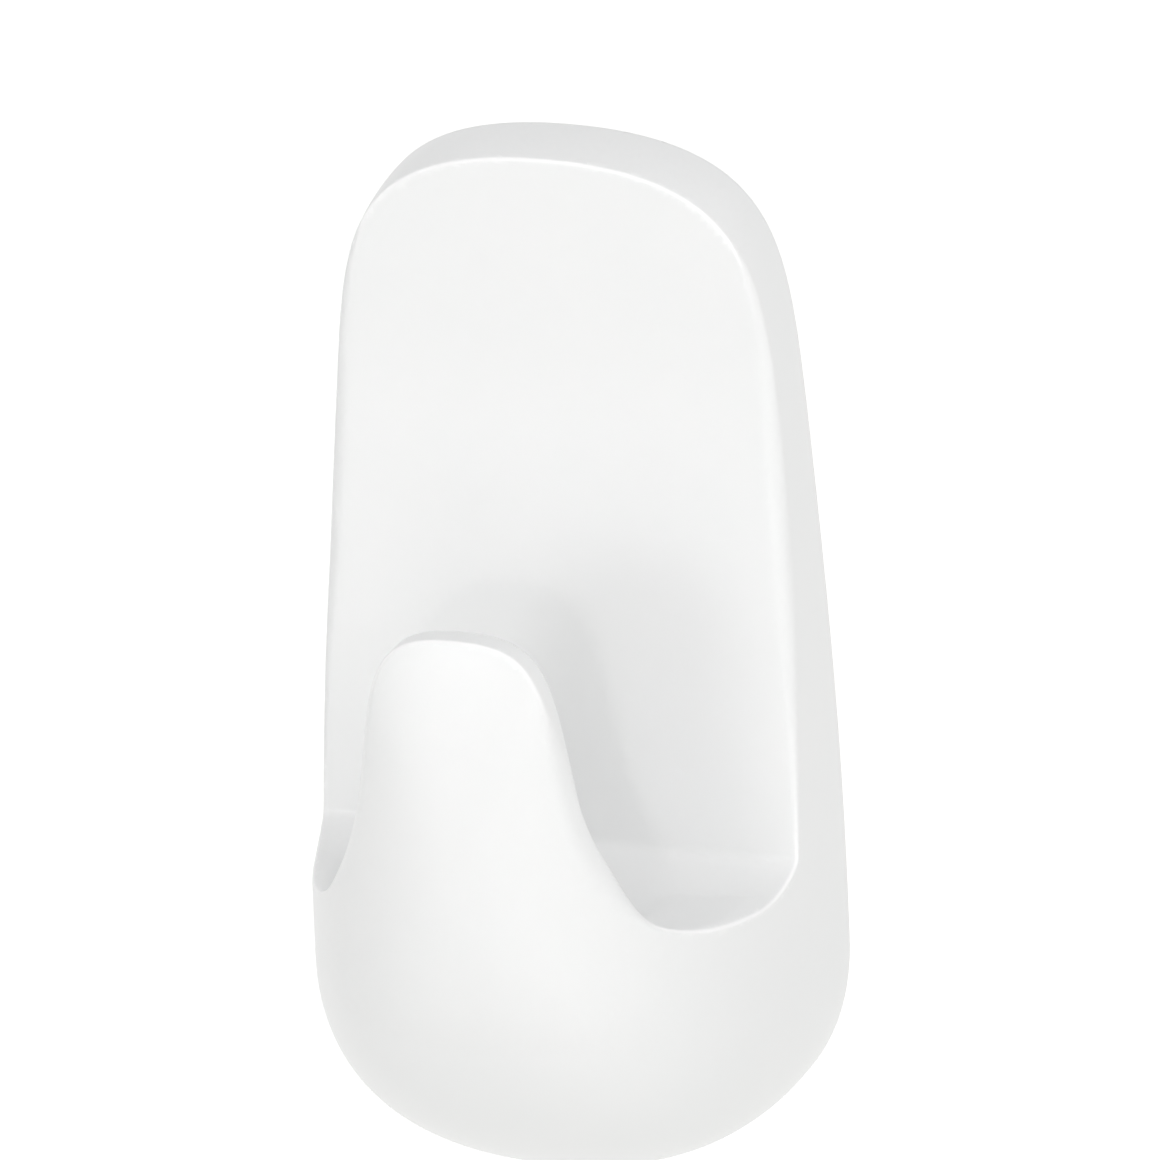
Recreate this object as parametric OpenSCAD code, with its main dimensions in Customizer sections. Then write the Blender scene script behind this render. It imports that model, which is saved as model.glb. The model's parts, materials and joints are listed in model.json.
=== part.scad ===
// Adhesive wall hook. A hollow moulded hook slides down over a base plate, and a
// stretch-release adhesive strip holds the base plate to the wall.
// X runs to the right, Y into the wall and Z up. The origin is the middle of the
// strip's wall face, so the hook stands out towards -Y.

/* [Body] */
// Width of the body at its widest level
body_w = 38; // [32:0.5:46]
// Height of the body
body_h = 78.5; // [66:0.5:95]
// Depth of the body from its back rim to the front of the cup
body_d = 30.6; // [25:0.2:37]
// Height of the body's top above the middle of the strip
body_top = 30.8; // [26:0.2:38]
// Level of the cup's fullest point, as a share of the height
belly_share = 0.385; // [0.34:0.005:0.43]
// Level of the widest point, as a share of the height
wide_share = 0.214; // [0.18:0.002:0.25]
// Roundness of the cup from rim to front: 2 is an ellipse, more is fuller
bulge_power = 2.12; // [1.9:0.02:2.6]

/* [Outline] */
// How far the bottom curve runs out level, as a share of the half width
bottom_run_share = 0.83; // [0.6:0.01:1.1]
// How far the bottom curve runs straight down at the side, as a share of its height
bottom_side_share = 0.4; // [0.2:0.01:0.7]
// How far the side runs straight up, as a share of the height above the widest point
side_run_share = 0.69; // [0.5:0.01:0.8]
// Width that the shoulder leans in to, as a share of the half width
shoulder_in_share = 0.7; // [0.6:0.01:0.85]
// Height of the shoulder, as a share of the height above the widest point
shoulder_up_share = 0.753; // [0.65:0.001:0.85]
// How far the top edge runs out level, as a share of the half width
top_run_share = 1.19; // [0.9:0.01:1.3]

/* [Back panel] */
// Thickness of the panel at its top edge, from the rim to the face
face_top_t = 4.5; // [4:0.1:6]
// Thickness of the panel at the trough, from the rim to the face
face_low_t = 9.15; // [7:0.05:11]
// Radius of the edge between the face and the sides
edge_r = 1.3; // [0.6:0.1:2]
// Height above the trough over which that radius grows to full size
edge_fade = 16; // [6:0.5:20]
// Height below the top over which that radius shrinks again
edge_top_fade = 18; // [8:0.5:22]
// Radius of the edge at the top, as a share of the full radius
edge_top_share = 0.3; // [0.2:0.05:0.6]

/* [Trough and tongue] */
// Height of the trough's floor above the body's bottom
floor_h = 25; // [20:0.1:30]
// Height of the tongue's tip above the body's bottom
tip_h = 50; // [42:0.1:58]
// Clear width of the throat at the floor, from the face to the tongue
throat_w = 16.8; // [13:0.1:19]
// Radius of the floor's turn up to the face
turn_r = 8; // [4:0.1:11]
// Height above the floor at which that turn meets the face in a crease
crease_h = 1.7; // [0.8:0.1:2.5]
// Radius of the floor's turn up into the tongue
front_r = 7; // [4:0.1:9]
// Wall of the tongue at its flanks
tongue_wall = 1.5; // [1.3:0.1:3]
// Distance of the flank's steepest point from the middle
flank_x = 8; // [6:0.1:10]
// Level of that point between the floor and the tip, as a share
flank_share = 0.54; // [0.4:0.01:0.65]
// Slope of the flank at that point, in degrees
flank_slope = 80; // [65:1:86]
// Length of the level run at the tip, for its roundness
tip_run = 6; // [3:0.1:7.5]
// Length of the flank's run up from its steepest point
flank_up = 9.3; // [5:0.1:11]
// Length of the flank's run down from its steepest point
flank_down = 6.4; // [3:0.1:9]
// Length of the level run at the bottom of the notch
notch_run = 5.5; // [3:0.1:9]
// Distance of the notch's lowest point from the middle
notch_x = 18; // [15:0.1:20]
// Depth to which the tongue's edge runs out under the floor
notch_dip = 0.1; // [0.05:0.05:0.6]
// Rise of the edge line above the floor where the tongue's wall begins to thin
thin_high = 8; // [6:0.1:12]
// Rise of the edge line where the wall has run out
thin_low = 2; // [1:0.1:4]
// How far the bowl's turn runs past the edge line there
run_past = 0.25; // [0.1:0.05:0.6]

/* [Shell] */
// Wall of the shell
skin = 2; // [1.5:0.1:2.6]
// Thickness of the ribs
rib_t = 1.4; // [1:0.1:2]
// Distance of the ribs from the middle
rib_x = 6.5; // [5.5:0.1:8]
// Distance of the lower ribs' back edge from the wall
rib_back = 7; // [5:0.1:9]
// Width of the stop that rests on the base plate
stop_w = 17; // [12:0.5:20]
// Thickness of the stop
stop_t = 2; // [1.5:0.1:3]
// Thickness of a catch's web at the lip
web_t = 1.3; // [1:0.1:1.8]

/* [Base plate] */
// Width of the base plate
plate_w = 20.6; // [18:0.2:23]
// Height of the base plate
plate_h = 44; // [38:0.5:48]
// Thickness of the base plate
plate_t = 2.4; // [2:0.1:3]
// Height of the base plate's top edge above the middle of the strip
plate_top = 22.5; // [19:0.1:24]
// Radius of the base plate's corners
plate_r = 2.5; // [1:0.1:4]
// Reach of a lug beyond the plate's side
lug_reach = 1.5; // [1.1:0.1:2]
// Length of a lug
lug_l = 9; // [7:0.1:10]
// Thickness of a lug
lug_t = 1.1; // [0.8:0.1:1.3]
// Height of the upper lugs' lower end above the middle of the strip
lug_high = 8; // [5:0.1:11]
// Height of the lower lugs' lower end above the middle of the strip
lug_low = -19; // [-21:0.1:-15]
// Width of the pocket in the plate's front
pocket_w = 8.4; // [6:0.1:10]
// Depth of the pocket in the plate's front
pocket_t = 1; // [0.5:0.1:1.3]
// Border left round the pocket at the plate's ends
pocket_end = 4; // [3:0.1:8]

/* [Adhesive strip] */
// Width of the strip
strip_w = 20; // [16:0.5:22]
// Length of the strip's bonded part
strip_l = 41; // [34:0.5:43]
// Thickness of the strip's bonded part
strip_t = 0.8; // [0.6:0.05:0.8]
// Length of the grip tab below the bonded part
tab_l = 12; // [9:0.2:14]
// Radius of the grip tab's lower corners
tab_r = 4; // [2:0.1:6]
// Thickness of each film on the grip tab
film_t = 0.15; // [0.1:0.01:0.2]
// Bare length between the bonded part and the films
film_gap = 1.5; // [1:0.1:2.5]

/* [Fits] */
// Gap between the body's rim and the wall
rim_gap = 1.1; // [1:0.05:1.5]
// Clearance on the sliding faces of lips and ribs
slide_clear = 0.15; // [0.1:0.01:0.25]
// Clearance beside the lugs and the plate
side_clear = 0.3; // [0.2:0.05:0.4]
// Depth of the grip tab's faces below the strip's faces
tab_inset = 0.05; // [0.03:0.01:0.1]
// Depth of the catches' backs inside the body's rim
catch_inset = 0.05; // [0.03:0.01:0.1]
// Length of the lead-in tapers on lips and lugs
lead = 1.6; // [1:0.1:2.5]

/* [Hidden] */
$fn = 48;

white_plastic = [0.95, 0.95, 0.94];
plate_plastic = [0.9, 0.9, 0.89];
strip_colour = [0.87, 0.86, 0.82];
film_colour = [0.72, 0.78, 0.84];

side_points = 11;
shoulder_points = 15;
ring_count = 10;
side_rings = 4;
cup_rings = 13;
edge_angles = [0 : 15 : 75];
edge_cut = 67.5;
arc_points = 10;
wave_points = 16;
bowl_points = 48;
bowl_turn_rings = 9;
bowl_rings = 5;
reach_steps = 18;

over = 2;
half_w = body_w / 2;
body_low = body_top - body_h;
belly_up = body_h * belly_share;
belly_z = body_low + belly_up;
crown_up = body_h - belly_up;
wide_z = body_h * wide_share - belly_up;
floor_z = body_low + floor_h;
tip_z = body_low + tip_h;
far_q = rim_gap + body_d + over;
far_top = body_top + over;
span = body_w + over;

plate_low = plate_top - plate_h;
plate_front = strip_t + plate_t;
lug_back = plate_front - lug_t;
lug_x = plate_w / 2 + lug_reach;
web_x = lug_x + side_clear;
lip_x = plate_w / 2 + side_clear;
lip_front = lug_back - slide_clear;
lip_back = rim_gap + catch_inset;
tab_low = -strip_l / 2 - tab_l;
film_top = -strip_l / 2 - film_gap;

// Points on a curve with any number of handles, on an arc and on the face's line

function bezier(p, t) =
    len(p) == 1 ? p[0] : bezier([for (i = [0 : len(p) - 2]) p[i] * (1 - t) + p[i + 1] * t], t);

function arc(centre, r, from, to) =
    [for (i = [0 : arc_points]) centre + r * [cos(from + (to - from) * i / arc_points),
                                              sin(from + (to - from) * i / arc_points)]];

function mirrored(points) = [for (i = [len(points) - 1 : -1 : 0]) [-points[i][0], points[i][1]]];

function face_q(z) =
    rim_gap + face_low_t + (face_top_t - face_low_t) * (z - floor_z) / (body_top - floor_z);

face_tilt = atan((face_low_t - face_top_t) / (body_top - floor_z));
under_face = skin / cos(face_tilt);

// Outline of the body seen from the front, about the cup's fullest point

bottom_curve = [
    [0, -belly_up],
    [half_w * bottom_run_share, -belly_up],
    [half_w, wide_z - bottom_side_share * (belly_up + wide_z)],
    [half_w, wide_z]
];
side_curve = [
    [half_w, wide_z],
    [half_w, wide_z + side_run_share * (crown_up - wide_z)],
    [half_w * shoulder_in_share, wide_z + shoulder_up_share * (crown_up - wide_z)],
    [half_w * top_run_share, crown_up],
    [0, crown_up]
];
function right_outline(detail) = concat(
    [for (i = [1 : side_points * detail]) bezier(bottom_curve, i / (side_points * detail))],
    [for (i = [1 : shoulder_points * detail - 1]) bezier(side_curve, i / (shoulder_points * detail))]
);

function outline(detail) =
    concat([[0, -belly_up]], right_outline(detail), [[0, crown_up]], mirrored(right_outline(detail)));

function inset_point(p, inset) = [
    p[0] * (half_w - inset) / half_w,
    p[1] > 0 ? p[1] * (crown_up - inset) / crown_up : p[1] * (belly_up - inset) / belly_up
];

// Tongue and notch seen from the front, from the tip out to the side

flank_z = floor_z + flank_share * (tip_z - floor_z);
flank_way = [cos(flank_slope), -sin(flank_slope)];
flank_point = [flank_x, flank_z];
tip_curve = [[0, tip_z], [tip_run, tip_z], flank_point - flank_up * flank_way, flank_point];
notch_curve = [
    flank_point,
    flank_point + flank_down * flank_way,
    [notch_x - notch_run, floor_z - notch_dip],
    [notch_x, floor_z - notch_dip]
];
right_wave = concat(
    [for (i = [1 : wave_points]) bezier(tip_curve, i / wave_points)],
    [for (i = [1 : wave_points]) bezier(notch_curve, i / wave_points)]
);
wave = concat(mirrored(right_wave), [[0, tip_z]], right_wave);

// Trough seen from the side, with the distance from the wall first

crease_z = floor_z + crease_h;
turn_run = sqrt(turn_r * turn_r - pow(turn_r - crease_h, 2));
turn_centre = [face_q(crease_z) + turn_run, floor_z + turn_r];
front_q = face_q(floor_z) + throat_w;

// The turn, at a depth under the floor, from where it meets the face at the same depth
function turn(under) = let (
    r = turn_r + under,
    run = turn_centre[0] - face_q(crease_z - under / 2) + under / cos(face_tilt)
) arc(turn_centre, r, 180 + acos(run / r), 270);

face_line = concat([[face_q(far_top), far_top]], turn(0));
under_line = concat([[face_q(far_top) - under_face, far_top]], turn(skin));

module across(width) {
    rotate([90, 0, -90])
        linear_extrude(width, center = true)
            children();
}

module outwards(from, to) {
    translate([0, -from, 0])
        rotate([90, 0, 0])
            linear_extrude(to - from)
                children();
}

// The body's egg form: its depth at a share of the way in from the outline, and back again

function egg_depth(share, depth) = depth * pow(1 - pow(share, bulge_power), 1 / bulge_power);

function egg_share(q, depth) = pow(1 - pow(q / depth, bulge_power), 1 / bulge_power);

// Levels of the egg above one outline point, each with the share of the way in, the depth
// and the distance by which the panel's rounded edge draws the skin in

function plain_levels(depth) =
    [for (k = [0 : ring_count - 1]) let (share = pow(cos(90 * k / ring_count), 2 / bulge_power))
        [share, egg_depth(share, depth), 0]];

function eased(t) = let (u = max(0, min(1, t))) u * u * (3 - 2 * u);

function edge_growth(z) =
    eased((z - crease_z) / edge_fade)
        * (1 - (1 - edge_top_share) * eased(1 - (body_top - z) / edge_top_fade));

function edged_levels(z, depth) =
    let (
        r = edge_r * edge_growth(z),
        start = face_q(z) - rim_gap - edge_r * sin(edge_cut),
        end = start + edge_r,
        end_share = egg_share(end, depth)
    )
    concat(
        [for (k = [0 : side_rings - 1]) let (q = start * k / side_rings) [egg_share(q, depth), q, 0]],
        [for (a = edge_angles) let (q = start + edge_r * sin(a))
            [egg_share(q, depth), q, r * (1 - cos(a))]],
        [for (k = [1 : cup_rings - 1]) let (share = end_share * cos(90 * k / cup_rings))
            [share, egg_depth(share, depth), 0]]
    );

// The egg as a solid, drawn in by inset and carried on backwards by tail

module egg(inset, tail, detail, edged) {
    loop = [for (p = outline(detail)) inset_point(p, inset)];
    depth = body_d - inset;
    n = len(loop);
    columns = [for (i = [0 : n - 1]) concat(
        tail > 0 ? [[1, -tail, 0]] : [],
        edged ? edged_levels(belly_z + loop[i][1], depth) : plain_levels(depth)
    )];
    levels = len(columns[0]);
    last = (levels - 1) * n;
    points = concat(
        [for (k = [0 : levels - 1]) for (i = [0 : n - 1])
            let (
                along = loop[(i + 1) % n] - loop[(i + n - 1) % n],
                inward = [-along[1], along[0]] / norm(along),
                level = columns[i][k],
                p = loop[i] * level[0] + inward * level[2]
            )
            [p[0], -level[1], p[1]]],
        [[0, -depth, 0]]
    );
    sides = [for (k = [0 : levels - 2]) for (i = [0 : n - 1])
        let (j = (i + 1) % n, a = k * n, b = a + n)
        for (f = [[a + i, b + i, b + j], [a + i, b + j, a + j]]) f];
    crown = [for (i = [0 : n - 1]) [last + i, len(points) - 1, last + (i + 1) % n]];
    translate([0, -rim_gap, belly_z])
        polyhedron(points = points, faces = concat([[for (i = [0 : n - 1]) i]], sides, crown));
}

module above_wave() {
    outwards(0, far_q)
        polygon(concat(
            [[-span, far_top], [-span, floor_z - over]],
            wave,
            [[span, floor_z - over], [span, far_top]]
        ));
}

// The bowl inside the tongue: level rings that follow the egg's inside and the tongue's
// plane back, and draw in towards the floor in a turn of radius front_r. Where the edge
// line comes down to the floor the wall thins out, and the turn runs out over the edge

radius_table = [for (p = concat([[0, -belly_up]], right_outline(2), [[0, crown_up]]))
    [atan2(p[1], p[0]), norm(p)]];

function egg_excess(x, up, q, inset) =
    let (
        grow = up > 0 ? crown_up / (crown_up - inset) : belly_up / (belly_up - inset),
        p = [abs(x) * half_w / (half_w - inset), up * grow],
        share = norm(p) / lookup(atan2(p[1], p[0]), radius_table)
    )
    pow(share, bulge_power) + pow(q / (body_d - inset), bulge_power) - 1;

function turn_run(rise) = front_r - sqrt(pow(front_r, 2) - pow(front_r - rise, 2));

function bowl_wall(x) =
    let (
        rise = lookup(abs(x), right_wave) - floor_z,
        thin = 1 - eased((rise - thin_low) / (thin_high - thin_low))
    )
    tongue_wall - (tongue_wall + run_past) * thin - turn_run(max(0, min(front_r, rise)));

function egg_reach(way, up, draw, near, far, steps) =
    let (r = (near + far) / 2, inset = bowl_wall(way[0] * r) + draw)
    steps == 0 ? r
        : egg_excess(way[0] * r, up, way[1] * r, inset) > 0 ? egg_reach(way, up, draw, near, r, steps - 1)
        : egg_reach(way, up, draw, r, far, steps - 1);

function bowl_ring(z, draw) = [for (i = [0 : bowl_points])
    let (
        a = 180 * i / bowl_points,
        way = [cos(a), sin(a)],
        egg_r = egg_reach(way, z - belly_z, draw, 0, span + body_d, reach_steps),
        back = front_q - rim_gap - draw,
        r = way[1] * egg_r > back ? back / way[1] : egg_r
    )
    [way[0] * r, -rim_gap - way[1] * r, z]];

module bowl() {
    turn_z = floor_z + front_r;
    rings = concat(
        [bowl_ring(floor_z - over, front_r)],
        [for (k = [1 : bowl_turn_rings]) let (t = 90 * k / bowl_turn_rings)
            bowl_ring(floor_z + front_r * (1 - cos(t)), front_r * (1 - sin(t)))],
        [for (k = [1 : bowl_rings]) bowl_ring(turn_z + (tip_z + over - turn_z) * k / bowl_rings, 0)]
    );
    n = bowl_points + 1;
    last = (len(rings) - 1) * n;
    sides = [for (k = [0 : len(rings) - 2]) for (i = [0 : n - 1])
        let (j = (i + 1) % n, a = k * n, b = a + n)
        for (f = [[a + i, a + j, b + j], [a + i, b + j, b + i]]) f];
    polyhedron(
        points = [for (ring = rings) for (p = ring) p],
        faces = concat([[for (i = [n - 1 : -1 : 0]) i], [for (i = [0 : n - 1]) last + i]], sides)
    );
}

module throat() {
    intersection() {
        across(span)
            polygon(concat(face_line, [[far_q, floor_z], [far_q, far_top]]));
        union() {
            above_wave();
            bowl();
        }
    }
}

module hollow() {
    intersection() {
        across(span)
            polygon(concat(
                [[-over, far_top]],
                under_line,
                [[far_q, floor_z - skin], [far_q, body_low - over], [-over, body_low - over]]
            ));
        egg(skin, over, 1, false);
    }
}

module ribs() {
    step_z = plate_low - lead;
    rib_top = plate_top + stop_t / 2;
    bearing = plate_front + slide_clear;
    bite = skin / 2;
    for (side = [-1, 1])
        translate([side * rib_x, 0, 0])
            across(rib_t)
                polygon(concat(
                    [[bearing, rib_top], [face_q(rib_top) - bite, rib_top]],
                    turn(bite),
                    [[far_q, floor_z - bite], [far_q, body_low], [rib_back, body_low],
                     [rib_back, step_z - rib_back + bearing], [bearing, step_z]]
                ));
}

module stop() {
    across(stop_w)
        polygon([
            [rim_gap + skin / 2, plate_top],
            [face_q(plate_top) - skin / 2, plate_top],
            [face_q(plate_top) - skin / 2, plate_top + stop_t],
            [rim_gap + skin / 2, plate_top + stop_t]
        ]);
}

module catch(z) {
    root = face_q(z + lug_l) - skin / 2;
    lip_w = web_x + web_t - lip_x;
    translate([web_x + web_t / 2, 0, 0])
        across(web_t)
            polygon([[lip_back, z], [root, z], [root, z + lug_l], [lip_back, z + lug_l]]);
    translate([lip_x + lip_w / 2, 0, 0])
        across(lip_w)
            polygon([
                [lip_back, z],
                [lip_front - slide_clear, z],
                [lip_front, z + lead],
                [lip_front, z + lug_l],
                [lip_back, z + lug_l]
            ]);
}

module catches() {
    for (side = [0, 1])
        mirror([side, 0, 0]) {
            catch(lug_low);
            catch(lug_high);
        }
}

module hook_shell() {
    color(white_plastic) {
        difference() {
            egg(0, 0, 2, true);
            throat();
            hollow();
        }
        intersection() {
            egg(skin / 2, 0, 1, false);
            union() {
                ribs();
                stop();
            }
        }
        catches();
    }
}

module rounded_plate(width, low, high, r) {
    translate([-width / 2, low + r])
        square([width, high - low - 2 * r]);
    translate([r - width / 2, low])
        square([width - 2 * r, high - low]);
    for (x = [r - width / 2, width / 2 - r], z = [low + r, high - r])
        translate([x, z])
            circle(r);
}

module lug(z) {
    translate([lug_x / 2, 0, 0])
        across(lug_x)
            polygon([
                [lug_back, z],
                [plate_front, z],
                [plate_front, z + lug_l],
                [lug_back + slide_clear, z + lug_l],
                [lug_back, z + lug_l - lead]
            ]);
}

module base_plate() {
    color(plate_plastic)
        difference() {
            union() {
                outwards(strip_t, plate_front)
                    rounded_plate(plate_w, plate_low, plate_top, plate_r);
                for (side = [0, 1])
                    mirror([side, 0, 0]) {
                        lug(lug_low);
                        lug(lug_high);
                    }
            }
            outwards(plate_front - pocket_t, plate_front + over)
                rounded_plate(pocket_w, plate_low + pocket_end, plate_top - pocket_end, plate_r);
        }
}

module tab_outline(high) {
    translate([-strip_w / 2, tab_low + tab_r])
        square([strip_w, high - tab_low - tab_r]);
    translate([tab_r - strip_w / 2, tab_low])
        square([strip_w - 2 * tab_r, high - tab_low]);
    for (x = [tab_r - strip_w / 2, strip_w / 2 - tab_r])
        translate([x, tab_low + tab_r])
            circle(tab_r);
}

module adhesive_strip() {
    color(strip_colour) {
        outwards(0, strip_t)
            translate([-strip_w / 2, -strip_l / 2])
                square([strip_w, strip_l]);
        outwards(tab_inset + film_t, strip_t - tab_inset - film_t)
            tab_outline(0);
    }
}

module tab_film_front() {
    color(film_colour)
        outwards(strip_t - tab_inset - film_t, strip_t - tab_inset)
            tab_outline(film_top);
}

module tab_film_back() {
    color(film_colour)
        outwards(tab_inset, tab_inset + film_t)
            tab_outline(film_top);
}

hook_shell();
base_plate();
adhesive_strip();
tab_film_front();
tab_film_back();
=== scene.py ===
"""Looks of a white adhesive wall hook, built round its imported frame.

X runs to the right, Y into the wall and Z up. The origin is the middle of the
adhesive strip's wall face. The forms are worked out in millimetres, with the
distance from the wall written as out (minus Y), and become metres in the meshes.
"""

import json
import logging
import math
from dataclasses import dataclass, field
from enum import Enum
from itertools import product
from typing import Any, NamedTuple

import bmesh
import bpy
import numpy as np
from mathutils import Matrix, Vector


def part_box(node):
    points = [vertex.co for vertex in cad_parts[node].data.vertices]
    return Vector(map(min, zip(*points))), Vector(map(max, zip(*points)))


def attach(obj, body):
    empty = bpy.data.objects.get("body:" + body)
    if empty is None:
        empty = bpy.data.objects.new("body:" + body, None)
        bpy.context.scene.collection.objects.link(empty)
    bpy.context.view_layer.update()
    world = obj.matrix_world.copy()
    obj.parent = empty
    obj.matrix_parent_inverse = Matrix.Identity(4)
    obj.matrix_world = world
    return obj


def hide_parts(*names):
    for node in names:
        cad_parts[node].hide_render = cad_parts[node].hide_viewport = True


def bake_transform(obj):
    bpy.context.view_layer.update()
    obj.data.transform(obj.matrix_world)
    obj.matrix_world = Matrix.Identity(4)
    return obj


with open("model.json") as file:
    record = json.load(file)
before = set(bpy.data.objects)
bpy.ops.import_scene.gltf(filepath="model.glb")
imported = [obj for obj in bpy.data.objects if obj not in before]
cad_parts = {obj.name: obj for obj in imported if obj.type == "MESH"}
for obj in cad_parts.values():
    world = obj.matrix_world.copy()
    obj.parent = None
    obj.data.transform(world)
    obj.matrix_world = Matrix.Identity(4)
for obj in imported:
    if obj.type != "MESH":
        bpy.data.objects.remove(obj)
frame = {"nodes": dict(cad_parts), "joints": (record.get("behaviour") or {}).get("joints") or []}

Array = np.ndarray
Point = tuple[float, float, float]

MM = 0.001
LOG = logging.getLogger("wall_hook")

# Attribute of the shell's mesh that marks the fine outer edges, where a thin pale line is painted on as a
# painted highlight.
PAINTED_EDGE_HIGHLIGHT = "painted_edge_highlight"
# Point that the camera and the lamps are aimed at, in millimetres.
HOOK_MIDDLE: Point = (3.0, -11.5, 0.0)
# Turn between two faces above which a small form's edge is rounded, and above which it is shaded sharp.
ROUNDED_TURN_DEG = 30
SHARP_TURN_DEG = 40
# Bevel profile of a plain arc.
ROUND_PROFILE = 0.5
# Colour sockets of a Mix node: its two inputs and its output.
MIX_A, MIX_B, MIX_RESULT = 6, 7, 2


class Body(Enum):
    """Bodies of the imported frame."""

    WALL_SIDE = "wall_side"
    HOOK = "hook"
    PULL_TAB = "pull_tab"


class Node(Enum):
    """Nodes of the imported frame."""

    HOOK_SHELL = "hook_shell"
    BASE_PLATE = "base_plate"
    ADHESIVE_STRIP = "adhesive_strip"
    TAB_FILM_FRONT = "tab_film_front"
    TAB_FILM_BACK = "tab_film_back"


class Slot(Enum):
    """Material slots of the record."""

    HOOK_PLASTIC = "hook_plastic"
    PLATE_PLASTIC = "plate_plastic"
    ADHESIVE = "adhesive"
    TAB_FILM = "tab_film"


class Places(NamedTuple):
    """Places in the row frame, as arrays that fit each other, in millimetres.

    Attributes:
        x: Distance to the right of the middle.
        out: Distance from the wall.
        z: Level.
    """

    x: Array
    out: Array
    z: Array


# Small helpers


def linear(colour: str) -> tuple[float, float, float, float]:
    """Turn an sRGB hex colour into a linear one.

    Args:
        colour: Colour such as "#f2f2f0".

    Returns:
        Linear red, green, blue and an alpha of 1.
    """
    shares = [int(colour[i : i + 2], 16) / 255 for i in (1, 3, 5)]
    light = [s / 12.92 if s <= 0.04045 else ((s + 0.055) / 1.055) ** 2.4 for s in shares]
    return (light[0], light[1], light[2], 1.0)


def add_node(
    tree: bpy.types.NodeTree, kind: str, inputs: dict | None = None, **settings: Any
) -> bpy.types.Node:
    """Add a node to a tree, with its settings, values and links.

    Args:
        tree: Tree that gets the node.
        kind: Blender's identifier of the node.
        inputs: Values or sockets by input name or number; a socket is linked.
        **settings: Properties of the node.

    Returns:
        The new node.
    """
    node = tree.nodes.new(kind)
    for key, value in settings.items():
        setattr(node, key, value)
    for key, value in (inputs or {}).items():
        if isinstance(value, bpy.types.NodeSocket):
            tree.links.new(value, node.inputs[key])
        else:
            node.inputs[key].default_value = value
    return node


def bare_material(name: str) -> bpy.types.Material:
    """Make a material whose node tree is still empty.

    Args:
        name: Name of the material.

    Returns:
        The material.
    """
    material = bpy.data.materials.new(name)
    material.use_nodes = True
    material.node_tree.nodes.clear()
    return material


def place_mesh(name: str, mesh: bpy.types.Mesh) -> bpy.types.Object:
    """Link a mesh to the scene as an object at the origin.

    Args:
        name: Name of the object.
        mesh: Its mesh.

    Returns:
        The object.
    """
    piece = bpy.data.objects.new(name, mesh)
    bpy.context.scene.collection.objects.link(piece)
    return piece


def box_mm(node: Node) -> tuple[Vector, Vector]:
    """Give a node's lowest and highest corners in millimetres."""
    low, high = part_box(node.value)
    return low / MM, high / MM


def bezier(handles: list[tuple[float, float]], count: int) -> Array:
    """Give points along a Bezier curve.

    Args:
        handles: Control points, any number of them.
        count: Number of steps along the curve.

    Returns:
        Points from the first handle to the last, one row each.
    """
    points = np.repeat(np.array(handles, float)[:, None, :], count + 1, axis=1)
    share = np.linspace(0, 1, count + 1)[:, None]
    while len(points) > 1:
        points = points[:-1] * (1 - share) + points[1:] * share
    return points[0]


def smooth_step(share: Array) -> Array:
    """Ease a share from 0 to 1, with level ends."""
    share = np.clip(share, 0, 1)
    return share * share * (3 - 2 * share)


def rounded_both(first: Array, second: Array, radius: Array | float) -> Array:
    """Give the depth inside both of two regions, their common edge rounded.

    Args:
        first: Depth inside one region, negative outside.
        second: Depth inside the other region.
        radius: Radius of the edge.

    Returns:
        Depth inside the common region.
    """
    near = np.hypot(np.maximum(radius - first, 0), np.maximum(radius - second, 0))
    return np.maximum(radius, np.minimum(first, second)) - near


def rounded_either(first: Array, second: Array, radius: Array | float) -> Array:
    """Give the depth inside either of two regions, their inner corner filleted."""
    return -rounded_both(-first, -second, radius)


# Finishes


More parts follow.
